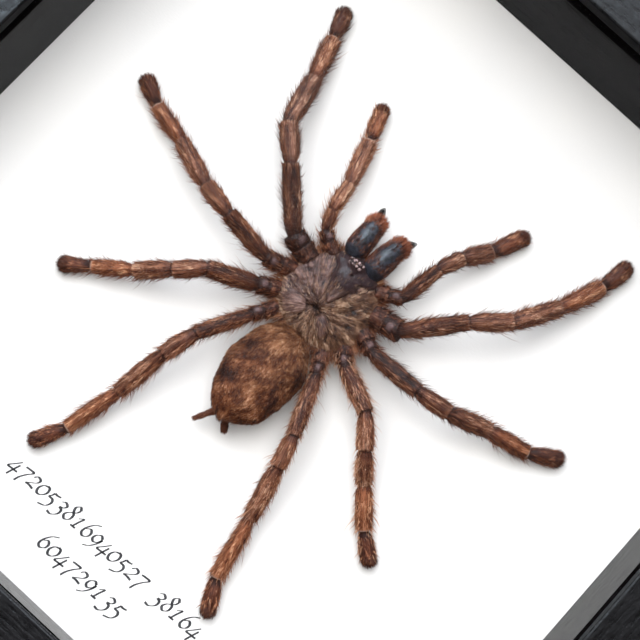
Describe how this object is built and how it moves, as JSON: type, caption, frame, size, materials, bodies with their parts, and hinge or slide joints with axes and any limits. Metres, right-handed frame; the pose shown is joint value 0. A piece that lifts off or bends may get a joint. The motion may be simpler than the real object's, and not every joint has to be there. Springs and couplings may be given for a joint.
{
  "type": "framed tarantula specimen",
  "caption": "Square black shadow box frame with a glass front and a large dried brown tarantula spread flat on a white board inside.",
  "frame": {"origin": "bottom centre of the bounding box: the middle of the frame's back plane", "axes": "+Z out of the box's front, towards the viewer; +Y towards the spider's head; +X to the spider's right as seen from the front"},
  "size_m": [0.2412, 0.2412, 0.0554],
  "materials": {
    "frame_wood": "satin black paint over fine grain",
    "glass": "clear and polished",
    "board": "matte white",
    "hardboard": "raw brown hardboard",
    "fittings": "bright plated steel",
    "carapace": "dull chitin with short hair",
    "abdomen": "mottled brown velvet of fine hair",
    "jaws": "satin blue black chitin with rusty hair",
    "fangs": "polished black chitin",
    "hair": "brown streaky hair"
  },
  "bodies": {
    "root": {"rail_top": "frame_wood", "rail_bottom": "frame_wood", "rail_left": "frame_wood", "rail_right": "frame_wood", "spacer_top": "frame_wood", "spacer_bottom": "frame_wood", "spacer_left": "frame_wood", "spacer_right": "frame_wood", "glass_pane": "glass", "mount_board": "board", "back_panel": "hardboard", "tab_top": "fittings", "tab_bottom": "fittings", "tab_left": "fittings", "tab_right": "fittings", "sawtooth_hanger": "fittings", "carapace": "carapace", "abdomen": "abdomen", "chelicera_left": "jaws", "chelicera_right": "jaws", "fang_left": "fangs", "fang_right": "fangs", "palp_left": "hair", "palp_right": "hair", "leg_1_left": "hair", "leg_1_right": "hair", "leg_2_left": "hair", "leg_2_right": "hair", "leg_3_left": "hair", "leg_3_right": "hair", "leg_4_left": "hair", "leg_4_right": "hair", "spinneret_left": "hair", "spinneret_right": "hair"}
  },
  "joints": []
}
